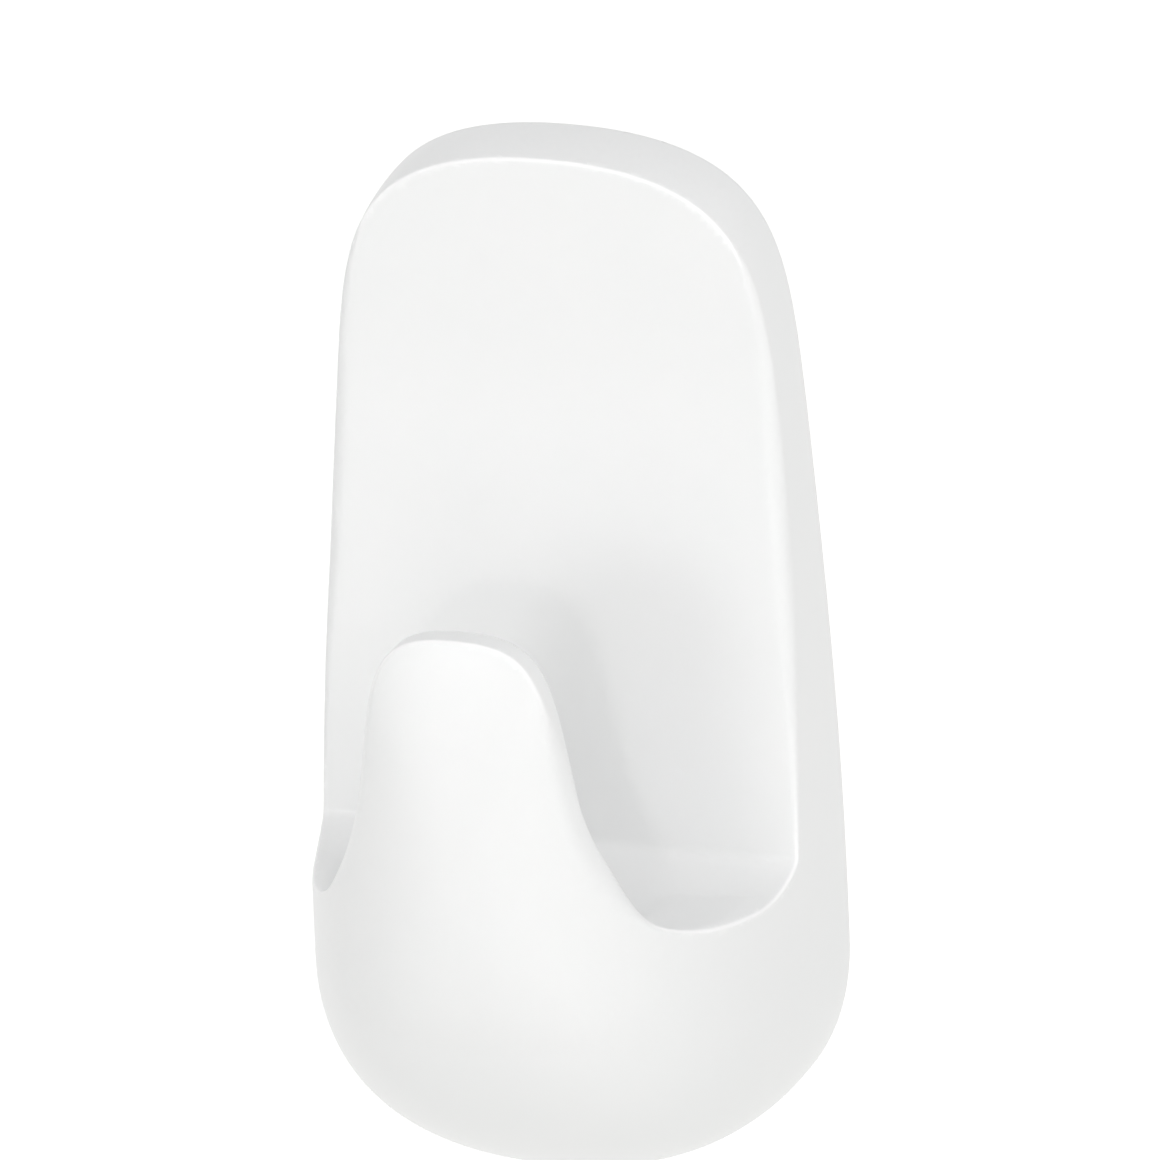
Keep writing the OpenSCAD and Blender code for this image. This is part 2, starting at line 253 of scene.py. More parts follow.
@dataclass(frozen=True)
class MouldedPlastic:
    """Injection-moulded ABS, off a mould whose walls were finely blasted.

    Attributes:
        name: Name of the material.
        colour: Main colour.
        shade: Colour of the faint clouds where the melt cooled more slowly.
        roughness: Mean roughness.
        roughness_range: How far the roughness swings about its mean.
        ior: Index of refraction.
        cloud_mm: Size of the clouds.
        cloud_detail: Finer layers in the clouds.
        grain_mm: Size of the grain.
        grain_detail: Finer layers in the grain.
        grain_height_mm: Height of the grain.
        painted_highlight_colour: Colour of the painted highlight, a thin pale line along the shell's fine
            outer edges.
    """

    name: str
    colour: str
    shade: str
    roughness: float
    roughness_range: float = 0.05
    ior: float = 1.53
    cloud_mm: float = 9.0
    cloud_detail: float = 2.0
    grain_mm: float = 0.22
    grain_detail: float = 3.0
    grain_height_mm: float = 0.0035
    painted_highlight_colour: str = "#ffffff"

    def build(self) -> bpy.types.Material:
        """Make the material.

        Returns:
            A near-white body with a satin sheen, a grain only just felt, and a painted highlight along the
            edges that the mesh marks.
        """
        material = bare_material(self.name)
        tree = material.node_tree
        place = add_node(tree, "ShaderNodeTexCoord").outputs["Object"]
        clouds, grain = (
            add_node(
                tree, "ShaderNodeTexNoise", {"Vector": place, "Scale": 1 / (size * MM), "Detail": detail}
            ).outputs["Fac"]
            for size, detail in ((self.cloud_mm, self.cloud_detail), (self.grain_mm, self.grain_detail))
        )
        body = add_node(
            tree,
            "ShaderNodeMix",
            {"Factor": clouds, MIX_A: linear(self.colour), MIX_B: linear(self.shade)},
            data_type="RGBA",
        )
        # Painted highlight: along the fine outer edges that the mesh marks, a thin pale line is mixed into
        # the colour.
        edge = add_node(tree, "ShaderNodeAttribute", attribute_name=PAINTED_EDGE_HIGHLIGHT)
        colour = add_node(
            tree,
            "ShaderNodeMix",
            {
                "Factor": edge.outputs["Fac"],
                MIX_A: body.outputs[MIX_RESULT],
                MIX_B: linear(self.painted_highlight_colour),
            },
            data_type="RGBA",
        )
        roughness = add_node(
            tree,
            "ShaderNodeMapRange",
            {
                "Value": grain,
                "To Min": self.roughness - self.roughness_range,
                "To Max": self.roughness + self.roughness_range,
            },
        )
        bump = add_node(
            tree,
            "ShaderNodeBump",
            {"Height": grain, "Distance": self.grain_height_mm * MM, "Strength": 1.0},
        )
        shader = add_node(
            tree,
            "ShaderNodeBsdfPrincipled",
            {
                "Base Color": colour.outputs[MIX_RESULT],
                "Roughness": roughness.outputs["Result"],
                "Normal": bump.outputs["Normal"],
                "IOR": self.ior,
            },
        )
        add_node(tree, "ShaderNodeOutputMaterial", {"Surface": shader.outputs["BSDF"]})
        return material


@dataclass(frozen=True)
class DrawnSheet:
    """Cast sheet with streaks along its length, left from its drawing.

    Attributes:
        name: Name of the material.
        colour: Main colour.
        shade: Colour of the streaks.
        roughness: Roughness.
        ior: Index of refraction.
        streak_mm: Width of the streaks.
        stretch_share: Width of a streak as a share of its length.
        streak_detail: Finer layers in the streaks.
        ripple_mm: Height of the streaks.
        ripple_strength: Share of that height that is felt.
        milk: Share of the light that goes in and comes out again beside its place.
        milk_mm: How far that light goes.
    """

    name: str
    colour: str
    shade: str
    roughness: float
    ior: float
    streak_mm: float
    stretch_share: float
    streak_detail: float
    ripple_mm: float
    ripple_strength: float
    milk: float = 0.0
    milk_mm: float = 0.6

    def build(self) -> bpy.types.Material:
        """Make the material.

        Returns:
            A tinted sheet with streaks along Z.
        """
        material = bare_material(self.name)
        tree = material.node_tree
        place = add_node(tree, "ShaderNodeTexCoord").outputs["Object"]
        along = add_node(
            tree, "ShaderNodeMapping", {"Vector": place, "Scale": (1.0, 1.0, self.stretch_share)}
        )
        streaks = add_node(
            tree,
            "ShaderNodeTexNoise",
            {
                "Vector": along.outputs["Vector"],
                "Scale": 1 / (self.streak_mm * MM),
                "Detail": self.streak_detail,
            },
        ).outputs["Fac"]
        colour = add_node(
            tree,
            "ShaderNodeMix",
            {"Factor": streaks, MIX_A: linear(self.colour), MIX_B: linear(self.shade)},
            data_type="RGBA",
        )
        bump = add_node(
            tree,
            "ShaderNodeBump",
            {"Height": streaks, "Distance": self.ripple_mm * MM, "Strength": self.ripple_strength},
        )
        shader = add_node(
            tree,
            "ShaderNodeBsdfPrincipled",
            {
                "Base Color": colour.outputs[MIX_RESULT],
                "Normal": bump.outputs["Normal"],
                "Roughness": self.roughness,
                "IOR": self.ior,
                "Subsurface Weight": self.milk,
                "Subsurface Scale": self.milk_mm * MM,
            },
        )
        add_node(tree, "ShaderNodeOutputMaterial", {"Surface": shader.outputs["BSDF"]})
        return material


# White ABS with a satin skin: near-white, evenly soft highlights, no visible grain from a step away.
HOOK_ABS = MouldedPlastic("hook_abs_satin_moulded", "#f1f1f1", "#eeefef", roughness=0.32)
# The same white ABS off a rougher mould: duller and a little greyer.
PLATE_ABS = MouldedPlastic("plate_abs_matt_moulded", "#ebebe8", "#e6e6e3", roughness=0.58, grain_mm=0.3)
# Cast elastomer adhesive: milky, a little yellow and slightly see-through, with a soft wet gloss.
ADHESIVE = DrawnSheet(
    "adhesive_cast_elastomer",
    "#e6e2d4",
    "#d9d4c2",
    roughness=0.34,
    ior=1.5,
    streak_mm=0.9,
    stretch_share=0.08,
    streak_detail=4.0,
    ripple_mm=0.02,
    ripple_strength=0.6,
    milk=0.25,
)
# Cast polyester film: pale blue and glossy. Its hair-fine lines are coarser than the real ones, to show.
TAB_FILM = DrawnSheet(
    "tab_film_cast_polyester",
    "#b9cbdc",
    "#aabfd3",
    roughness=0.16,
    ior=1.64,
    streak_mm=0.35,
    stretch_share=0.05,
    streak_detail=2.0,
    ripple_mm=0.004,
    ripple_strength=0.5,
)


# Form of the moulded hook


@dataclass
class HookForm:
    """Form of the hook as a depth field: positive inside the plastic, zero on its skin.

    The body is an egg: an outline seen from the front that closes in towards the
    cup's fullest point as it comes out from the wall. A leaning face, a trough and
    the line of the tongue's edge cut it, and it is hollow from behind.

    Attributes:
        half_w: Half the body's width.
        low: Level of the body's bottom.
        top: Level of the body's top.
        rim: Distance of the back rim from the wall.
        deep: Depth from the rim to the front of the cup.
        plate_front: Distance of the base plate's front from the wall.
        plate_low: Level of the base plate's lower edge.
        plate_top: Level of the base plate's upper edge.
        belly_share: Level of the fullest point, as a share of the height.
        wide_share: Level of the widest place, as a share of the height.
        bulge_power: Power of the curve by which the egg closes in.
        bottom_run_share: Reach of the outline's level start at the bottom.
        bottom_side_share: Reach of its upright end at the widest place.
        side_run_share: Reach of the straight side above the widest place.
        shoulder_in_share: Place of the shoulder's handle across.
        shoulder_up_share: Place of the shoulder's handle upwards.
        top_run_share: Reach of the level run at the top.
        face_top_t: Distance of the face from the rim at the top.
        face_low_t: Distance of the face from the rim at the trough's floor.
        floor_h: Height of the trough's floor above the bottom.
        tip_h: Height of the tongue's tip above the bottom.
        throat_w: Width of the throat between face and tongue.
        turn_r: Radius of the turn from the floor up to the face.
        crease_h: Height of the crease between turn and face.
        crease_r: Radius in the crease.
        front_r: Radius of the turn from the floor up to the tongue.
        tongue_wall: Wall of the tongue in front of the bowl.
        flank_x: Distance of the flank's steepest place from the middle.
        flank_share: Level of that place between the floor and the tip.
        flank_slope_deg: Slope of the edge line there.
        tip_run: Reach of the edge line's level start at the tip.
        flank_up: Reach of the flank upwards.
        flank_down: Reach of the flank downwards.
        notch_run: Reach of the edge line's level end at the notch.
        notch_x: Distance of the notch's lowest place from the middle.
        notch_dip: Depth of the notch below the floor.
        thin_high: Rise of the edge line below which the bowl's wall thins.
        thin_low: Rise of the edge line at which that wall is gone.
        run_past: How far the bowl runs past the egg there.
        skin: Wall round the hollow.
        rib_t: Thickness of a rib.
        rib_x: Distance of a rib from the middle.
        rib_back: Distance of the ribs' lower backs from the wall.
        rib_step: How far below the plate the ribs step back.
        slide_clear: Gap between plate and ribs, and behind the lugs.
        stop_w: Width of the stop.
        stop_t: Thickness of the stop.
        panel_edge: Radius of the panel's edges by level.
        lip_edge: Radius of the tongue's outer edge by rise above the floor.
        lip_inner_r: Radius of the tongue's inner edge, beyond the fine one.
        fine_r: Radius of the finest edges.
        painted_highlight_reach: Reach of the painted highlight, a pale line along the fine edges.
        painted_highlight_gain: How soon that painted highlight is full.
        hollow_fillet: Radius of the hollow's corners.
        rim_edge_r: Radius of the back rim's edges.
        rib_fillet: Radius in the ribs' corners.
        core_share: Share of the egg about its middle whose depth is held level.
        least_steep: Least slope of the egg's field.
        outline_steps: Steps along each of the outline's curves.
        wave_steps: Steps along each of the edge line's curves.
    """

    half_w: float
    low: float
    top: float
    rim: float
    deep: float
    plate_front: float
    plate_low: float
    plate_top: float

    belly_share: float = 0.385
    wide_share: float = 0.214
    bulge_power: float = 2.12
    bottom_run_share: float = 0.83
    bottom_side_share: float = 0.4
    side_run_share: float = 0.69
    shoulder_in_share: float = 0.7
    shoulder_up_share: float = 0.753
    top_run_share: float = 1.19

    face_top_t: float = 4.5
    face_low_t: float = 9.15
    floor_h: float = 25.0
    tip_h: float = 50.0
    throat_w: float = 16.8
    turn_r: float = 8.0
    crease_h: float = 1.7
    crease_r: float = 0.3
    front_r: float = 7.0
    tongue_wall: float = 1.5

    flank_x: float = 8.0
    flank_share: float = 0.54
    flank_slope_deg: float = 80.0
    tip_run: float = 6.0
    flank_up: float = 9.3
    flank_down: float = 6.4
    notch_run: float = 5.5
    notch_x: float = 18.0
    notch_dip: float = 0.1
    thin_high: float = 8.0
    thin_low: float = 2.0
    run_past: float = 0.25

    skin: float = 2.0
    rib_t: float = 1.4
    rib_x: float = 6.5
    rib_back: float = 7.0
    rib_step: float = 1.6
    slide_clear: float = 0.15
    stop_w: float = 17.0
    stop_t: float = 2.0

    panel_edge: tuple[tuple[float, float], ...] = (
        (-20, 0.3), (-9, 0.7), (-2, 1.2), (12, 1.2), (19, 0.7), (25, 0.4),
    )
    lip_edge: tuple[tuple[float, float], ...] = (
        (0, 0.22), (2, 0.3), (6, 1.0), (14, 1.0), (21, 0.35), (25, 0.22),
    )
    lip_inner_r: float = 0.45
    fine_r: float = 0.25
    painted_highlight_reach: float = 0.27
    painted_highlight_gain: float = 1.3
    hollow_fillet: float = 1.0
    rim_edge_r: float = 0.35
    rib_fillet: float = 0.4

    core_share: float = 0.05
    least_steep: float = 1e-4
    outline_steps: int = 240
    wave_steps: int = 20

    @classmethod
    def from_frame(cls) -> "HookForm":
        """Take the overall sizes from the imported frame.

        Returns:
            The form, sized to the hook's and the base plate's boxes.
        """
        low, high = box_mm(Node.HOOK_SHELL)
        plate_low, plate_high = box_mm(Node.BASE_PLATE)
        return cls(
            half_w=(high.x - low.x) / 2,
            low=low.z,
            top=high.z,
            rim=-high.y,
            deep=high.y - low.y,
            plate_front=-plate_low.y,
            plate_low=plate_low.z,
            plate_top=plate_high.z,
        )

    def __post_init__(self) -> None:
        """Work out the levels, the outline's table and the tongue's edge line."""
        height = self.top - self.low
        self.belly_up = height * self.belly_share
        self.belly_z = self.low + self.belly_up
        self.crown_up = height - self.belly_up
        self.wide_up = height * self.wide_share - self.belly_up
        self.floor_z = self.low + self.floor_h
        self.tip_z = self.low + self.tip_h
        self.face_slope = (self.face_top_t - self.face_low_t) / (self.top - self.floor_z)
        self.face_cos = math.cos(math.atan(self.face_slope))
        self.front_out = self.face_out(self.floor_z) + self.throat_w
        turn_run = math.sqrt(self.turn_r**2 - (self.turn_r - self.crease_h) ** 2)
        self.turn_out = self.face_out(self.floor_z + self.crease_h) + turn_run - self.turn_r
        self._trace_outline()
        self._trace_wave()

    def _trace_outline(self) -> None:
        """Tabulate the outline's radius and slope by angle about the fullest point."""
        side = self.crown_up - self.wide_up
        bottom = bezier(
            [
                (0, -self.belly_up),
                (self.half_w * self.bottom_run_share, -self.belly_up),
                (self.half_w, self.wide_up - self.bottom_side_share * (self.belly_up + self.wide_up)),
                (self.half_w, self.wide_up),
            ],
            self.outline_steps,
        )
        upper = bezier(
            [
                (self.half_w, self.wide_up),
                (self.half_w, self.wide_up + self.side_run_share * side),
                (self.half_w * self.shoulder_in_share, self.wide_up + self.shoulder_up_share * side),
                (self.half_w * self.top_run_share, self.crown_up),
                (0, self.crown_up),
            ],
            self.outline_steps,
        )
        points = np.concatenate([bottom, upper[1:]])
        along = np.gradient(points, axis=0)
        along /= np.linalg.norm(along, axis=1)[:, None]
        normals = np.stack([along[:, 1], -along[:, 0]], axis=1)
        self.angles = np.arctan2(points[:, 1], points[:, 0])
        self.radii = np.hypot(points[:, 0], points[:, 1])
        self.slopes = 1 / np.sum(points * normals, axis=1)

    def _trace_wave(self) -> None:
        """Trace the tongue's edge line from its tip to beyond the side."""
        slope = math.radians(self.flank_slope_deg)
        way = np.array([math.cos(slope), -math.sin(slope)])
        flank = np.array([self.flank_x, self.floor_z + self.flank_share * (self.tip_z - self.floor_z)])
        bottom = self.floor_z - self.notch_dip
        tip = bezier(
            [(0, self.tip_z), (self.tip_run, self.tip_z), tuple(flank - self.flank_up * way), tuple(flank)],
            self.wave_steps,
        )
        notch = bezier(
            [
                tuple(flank),
                tuple(flank + self.flank_down * way),
                (self.notch_x - self.notch_run, bottom),
                (self.notch_x, bottom),
            ],
            self.wave_steps,
        )
        self.wave = np.concatenate([tip, notch[1:], [[2 * self.half_w, bottom]]])

    def face_out(self, z: Array | float) -> Array | float:
        """Give the distance of the leaning face from the wall at a level."""
        return self.rim + self.face_low_t + self.face_slope * (z - self.floor_z)

    def before_face(self, at: Places) -> Array:
        """Give the distance in front of the leaning face."""
        return (at.out - self.face_out(at.z)) * self.face_cos

    def above_turn(self, at: Places) -> Array:
        """Give the distance above the trough's floor and its turn up to the face."""
        return rounded_both(at.out - self.turn_out, at.z - self.floor_z, self.turn_r)

    def egg_depth(self, at: Places, inset: Array | float) -> Array:
        """Give the depth inside the egg, drawn in all round by an inset.

        Args:
            at: Places to look at.
            inset: Wall that is taken off all round.

        Returns:
            Depth in millimetres, first order.
        """
        up = at.z - self.belly_z
        crown = self.crown_up / (self.crown_up - inset)
        bowl = self.belly_up / (self.belly_up - inset)
        x = np.abs(at.x) * self.half_w / (self.half_w - inset)
        up = up * np.where(up > 0, crown, bowl)
        angle = np.arctan2(up, x)
        share = np.hypot(x, up) / np.interp(angle, self.angles, self.radii)
        slope = np.interp(angle, self.angles, self.slopes)
        deep = self.deep - inset
        rise = np.maximum(at.out - self.rim, 0) / deep
        power = self.bulge_power
        level = np.maximum((share**power + rise**power) ** (1 / power), self.core_share)
        steep = np.hypot(share ** (power - 1) * slope, rise ** (power - 1) / deep)
        return (1 - level) * level ** (power - 1) / np.maximum(steep, self.least_steep)

    def wave_height(self, at: Places) -> Array:
        """Give the distance above the tongue's edge line, seen from the front.

        Args:
            at: Places to look at.

        Returns:
            Distance in millimetres, negative below the line.
        """
        x, z = np.abs(at.x), at.z
        nearest = np.full(np.broadcast(x, z).shape, np.inf)
        for (x0, z0), (x1, z1) in zip(self.wave[:-1], self.wave[1:]):
            run, rise = x1 - x0, z1 - z0
            share = np.clip(((x - x0) * run + (z - z0) * rise) / (run * run + rise * rise), 0, 1)
            nearest = np.minimum(nearest, np.hypot(x - x0 - share * run, z - z0 - share * rise))
        return np.where(z > np.interp(x, self.wave[:, 0], self.wave[:, 1]), nearest, -nearest)

    def bowl_wall(self, x: Array) -> tuple[Array, Array]:
        """Give the wall in front of the bowl, which runs out over the edge at the notch.

        Args:
            x: Distance from the middle.

        Returns:
            The wall, below zero where the bowl's turn runs out, and its share of the
            full wall.
        """
        edge = np.interp(np.abs(x), self.wave[:, 0], self.wave[:, 1])
        rise = edge - self.floor_z
        full = smooth_step((rise - self.thin_low) / (self.thin_high - self.thin_low))
        rise = np.clip(rise, 0, self.front_r)
        run_out = self.front_r - np.sqrt(self.front_r**2 - (self.front_r - rise) ** 2)
        return self.tongue_wall - (self.tongue_wall + self.run_past) * (1 - full) - run_out, full

    def edge_radius(self, at: Places) -> Array:
        """Give the radius of the outer edges: wide beside the panel and on the tongue's flanks.

        Args:
            at: Places to look at.

        Returns:
            Radius in millimetres.
        """
        panel = np.interp(at.z, *zip(*self.panel_edge))
        lip = np.interp(at.z - self.floor_z, *zip(*self.lip_edge))
        near = 1 - smooth_step((at.out - self.face_out(at.z)) / panel - 1)
        return lip + (panel - lip) * near

    def ribs_and_stop(self, at: Places, under: Array) -> Array:
        """Give the depth inside the two ribs and the stop that rests on the plate.

        Args:
            at: Places to look at.
            under: Depth behind the face and under the trough, inside the hollow.

        Returns:
            Depth in millimetres.
        """
        x, out, z = np.abs(at.x), at.out, at.z
        bearing = self.plate_front + self.slide_clear
        rooted = np.minimum(self.egg_depth(at, self.skin / 2), under + self.skin / 2)
        back = np.clip(bearing + self.plate_low - self.rib_step - z, bearing, self.rib_back)
        rib = np.minimum(self.rib_t / 2 - np.abs(x - self.rib_x), out - back)
        rib = np.minimum(rib, self.plate_top + self.stop_t / 2 - z)
        stop_half = self.stop_t / 2
        stop = np.minimum(self.stop_w / 2 - x, stop_half - np.abs(z - self.plate_top - stop_half))
        stop = np.minimum(stop, out - self.rim - self.skin / 2)
        return np.minimum(np.maximum(rib, stop), rooted)

    def opening(self, at: Places) -> Array:
        """Give the depth inside the room before the face, in the trough and over the tongue's edge.

        Args:
            at: Places to look at.

        Returns:
            Depth in millimetres, negative outside.
        """
        trough = rounded_both(self.before_face(at), self.above_turn(at), self.crease_r)
        wall, full = self.bowl_wall(at.x)
        tongue = np.minimum(self.front_out - at.out, self.egg_depth(at, wall))
        bowl = rounded_both(tongue, at.z - self.floor_z, self.front_r)
        open_way = rounded_either(self.wave_height(at), bowl, self.lip_inner_r * full + self.fine_r)
        return np.minimum(trough, open_way)

    def painted_edge_highlight(self, at: Places) -> Array:
        """Give the share of the painted highlight at a place: 1 on a fine outer edge and 0 away from it."""
        near = np.hypot(self.egg_depth(at, 0.0), self.opening(at))
        return smooth_step(self.painted_highlight_gain * (1 - near / self.painted_highlight_reach))

    def depth(self, at: Places) -> Array:
        """Give the depth inside the moulded plastic.

        Args:
            at: Places to look at.

        Returns:
            Depth in millimetres, negative outside.
        """
        cut = self.opening(at)
        body = rounded_both(self.egg_depth(at, 0.0), -cut, self.edge_radius(at))
        under = rounded_either(
            -self.before_face(at) - self.skin, -self.above_turn(at) - self.skin, self.hollow_fillet
        )
        hollow = rounded_both(under, self.egg_depth(at, self.skin), self.hollow_fillet)
        body = rounded_both(body, -hollow, self.rim_edge_r)
        body = rounded_both(body, at.out - self.rim, self.rim_edge_r)
        return rounded_either(body, self.ribs_and_stop(at, under), self.rib_fillet)


@dataclass
class SkinMesher:
    """Turns a depth field into an even mesh of quads on its skin.

    Attributes:
        form: Form whose skin is meshed.
        pitch: Grid spacing in millimetres.
        relaxing: Rounds of evening out.
        settling: Rounds of moving the net's points onto the skin.
        probe: Step of the gradient's differences in millimetres.
        least_slope: Least square of the gradient that a step is divided by.
        refining: Rounds of splitting at the fine edges.
        fresh_settling: Rounds of moving the points of a split onto the skin.
        turn_deg: Turn of the skin along a net line above which it is split.
    """

    form: HookForm
    pitch: float = 0.52
    relaxing: int = 4
    settling: int = 2
    probe: float = 0.01
    least_slope: float = 0.2
    refining: int = 3
    fresh_settling: int = 3
    turn_deg: float = 14.0

    @staticmethod
    def places(points: Array) -> Places:
        """Give points in the row frame, one row each, as places."""
        return Places(points[:, 0], -points[:, 1], points[:, 2])

    def field_at(self, points: Array) -> Array:
        """Give the depth at points in the row frame, in millimetres."""
        return self.form.depth(self.places(points))

    def slope_at(self, points: Array) -> Array:
        """Give the gradient of the depth at points.

        Args:
            points: Points in millimetres, one row each.

        Returns:
            The gradients, one row each.
        """
        steps = np.eye(3) * self.probe
        rises = [self.field_at(points + s) - self.field_at(points - s) for s in steps]
        return np.stack(rises, axis=1) / (2 * self.probe)

    def normals_at(self, points: Array) -> Array:
        """Give the outward normals of the skin at points on it."""
        slope = self.slope_at(points)
        return -slope / np.linalg.norm(slope, axis=1)[:, None]

    def settle(self, points: Array, rounds: int) -> Array:
        """Move points onto the skin along the depth's gradient.

        Args:
            points: Points near the skin.
            rounds: Number of steps.

        Returns:
            Points on the skin.
        """
        for _ in range(rounds):
            slope = self.slope_at(points)
            step = self.field_at(points) / np.maximum(np.sum(slope * slope, axis=1), self.least_slope)
            points = points - np.clip(step, -self.pitch, self.pitch)[:, None] * slope
        return points

    def grid(self) -> list[Array]:
        """Lay the grid, with room round the form.

        Returns:
            The grid's levels along X, Y and Z.
        """
        form = self.form
        room = 2 * self.pitch
        spans = [(-form.half_w, form.half_w), (-form.rim - form.deep, -form.rim), (form.low, form.top)]
        return [np.arange(a - room, b + room + self.pitch, self.pitch) for a, b in spans]

    def net(self) -> tuple[Array, Array]:
        """Lay a net of quads through the grid cells that the skin crosses.

        Returns:
            Points in millimetres, and quads of point numbers facing outwards.
        """
        axes = self.grid()
        x, y, z = np.meshgrid(*axes, indexing="ij", sparse=True)
        depth = self.form.depth(Places(x, -y, z))
        inside = depth > 0
        cells = tuple(n - 1 for n in inside.shape)
        corners = list(product((0, 1), repeat=3))
        count = sum(
            inside[i : i + cells[0], j : j + cells[1], k : k + cells[2]].astype(int) for i, j, k in corners
        )
        crossed = np.argwhere((count > 0) & (count < len(corners)))
        number = np.full(cells, -1)
        number[tuple(crossed.T)] = np.arange(len(crossed))
        total = np.zeros((len(crossed), 3))
        hits = np.zeros(len(crossed))
        for near in corners:
            for axis in range(3):
                if near[axis]:
                    continue
                far = np.array(near) + np.eye(3, dtype=int)[axis]
                a = depth[tuple((crossed + near).T)]
                b = depth[tuple((crossed + far).T)]
                hit = (a > 0) != (b > 0)
                share = np.where(hit, a / np.where(hit, a - b, 1), 0)
                total += hit[:, None] * (np.array(near) + share[:, None] * (far - near))
                hits += hit
        start = np.array([a[0] for a in axes])
        points = start + (crossed + total / hits[:, None]) * self.pitch
        return points, self._quads(inside, number)

    @staticmethod
    def _quads(inside: Array, number: Array) -> Array:
        """Join the cells round each grid edge that passes through the skin.

        Args:
            inside: Whether each grid point lies inside.
            number: Point number of each cell.

        Returns:
            Quads of point numbers, facing outwards.
        """
        quads = []
        for axis in range(3):
            first = np.take(inside, range(inside.shape[axis] - 1), axis)
            second = np.take(inside, range(1, inside.shape[axis]), axis)
            edges = np.argwhere(first != second)
            u = np.eye(3, dtype=int)[(axis + 1) % 3]
            v = np.eye(3, dtype=int)[(axis + 2) % 3]
            ring = np.stack([number[tuple((edges - d).T)] for d in (0 * u, u, u + v, v)], axis=1)
            outward = first[tuple(edges.T)]
            quads.append(np.where(outward[:, None], ring, ring[:, ::-1]))
        return np.concatenate(quads)

    def even_out(self, points: Array, quads: Array) -> Array:
        """Draw each point towards its neighbours, keeping it on the skin.

        Args:
            points: Points on the skin.
            quads: Quads of point numbers.

        Returns:
            The points, more evenly spaced.
        """
        ends = np.concatenate([quads[:, [i, (i + 1) % 4]] for i in range(4)])
        ends = np.concatenate([ends, ends[:, ::-1]])
        degree = np.bincount(ends[:, 0], minlength=len(points))
        for _ in range(self.relaxing):
            sums = [np.bincount(ends[:, 0], points[ends[:, 1], c], len(points)) for c in range(3)]
            mean = np.stack(sums, axis=1) / degree[:, None]
            points = self.settle(points + (mean - points) / 2, 1)
        return self.settle(points, self.settling)

    def refine(self, shape: bmesh.types.BMesh) -> None:
        """Split the net where the skin turns sharply, and lay the new points on the skin.

        Args:
            shape: The net in metres, changed in place.
        """
        normals = self.normals_at(np.array([v.co for v in shape.verts]) / MM)
        ends = np.array([(e.verts[0].index, e.verts[1].index) for e in shape.edges])
        along = np.sum(normals[ends[:, 0]] * normals[ends[:, 1]], axis=1)
        shape.edges.ensure_lookup_table()
        sharp = [shape.edges[i] for i in np.flatnonzero(along < math.cos(math.radians(self.turn_deg)))]
        split = bmesh.ops.subdivide_edges(shape, edges=sharp, cuts=1, use_grid_fill=True)
        fresh = [g for g in split["geom_inner"] if isinstance(g, bmesh.types.BMVert)]
        settled = self.settle(np.array([v.co for v in fresh]) / MM, self.fresh_settling)
        for vert, place in zip(fresh, settled):
            vert.co = place * MM
        shape.verts.index_update()

    def build(self, name: str) -> bpy.types.Mesh:
        """Mesh the skin, with the field's own normals and the painted highlight on its fine edges marked.

        Args:
            name: Name of the mesh.

        Returns:
            A closed mesh in metres.
        """
        points, quads = self.net()
        points = self.even_out(self.settle(points, self.settling), quads)
        mesh = bpy.data.meshes.new(name)
        mesh.from_pydata((points * MM).tolist(), [], quads.tolist())
        shape = bmesh.new()
        shape.from_mesh(mesh)
        for _ in range(self.refining):
            self.refine(shape)
        shape.to_mesh(mesh)
        shape.free()
        points = np.array([v.co for v in mesh.vertices]) / MM
        # Painted highlight: share of a thin pale line painted along the fine outer edges.
        painted_highlight_share = mesh.attributes.new(PAINTED_EDGE_HIGHLIGHT, "FLOAT", "POINT")
        painted_highlight_share.data.foreach_set("value", self.form.painted_edge_highlight(self.places(points)))
        mesh.polygons.foreach_set("use_smooth", np.ones(len(mesh.polygons), bool))
        mesh.normals_split_custom_set_from_vertices(self.normals_at(points).tolist())
        return mesh


# Small forms and repeats


def loft(rings: list[list[Point]]) -> bmesh.types.BMesh:
    """Build a closed form through rings of points, with a face on each end.

    Args:
        rings: Rings with as many points each: X, distance from the wall and level,
            in millimetres.

    Returns:
        The form in metres.
    """
    shape = bmesh.new()
    loops = [[shape.verts.new((x * MM, -out * MM, z * MM)) for x, out, z in ring] for ring in rings]
    shape.faces.new(loops[0])
    shape.faces.new(loops[-1])
    for first, second in zip(loops[:-1], loops[1:]):
        for i in range(len(first)):
            j = (i + 1) % len(first)
            shape.faces.new((first[i], first[j], second[j], second[i]))
    return shape


def soften(shape: bmesh.types.BMesh, radius: float, segments: int = 2) -> None:
    """Round a small form's sharp edges.

    Args:
        shape: Form in metres, changed in place.
        radius: Radius in millimetres.
        segments: Steps round the edge.
    """
    bmesh.ops.recalc_face_normals(shape, faces=shape.faces)
    turn = math.radians(ROUNDED_TURN_DEG)
    sharp = [e for e in shape.edges if e.is_manifold and e.calc_face_angle() > turn]
    bmesh.ops.bevel(
        shape,
        geom=sharp,
        offset=radius * MM,
        segments=segments,
        profile=ROUND_PROFILE,
        affect="EDGES",
        clamp_overlap=True,
    )


def finish_mesh(shape: bmesh.types.BMesh, name: str) -> bpy.types.Mesh:
    """Turn a built form into a mesh with outward faces and soft shading.

    Args:
        shape: Form in metres, freed here.
        name: Name of the mesh.

    Returns:
        The mesh.
    """
    bmesh.ops.recalc_face_normals(shape, faces=shape.faces)
    for face in shape.faces:
        face.smooth = True
    mesh = bpy.data.meshes.new(name)
    shape.to_mesh(mesh)
    shape.free()
    mesh.set_sharp_from_angle(angle=math.radians(SHARP_TURN_DEG))
    return mesh


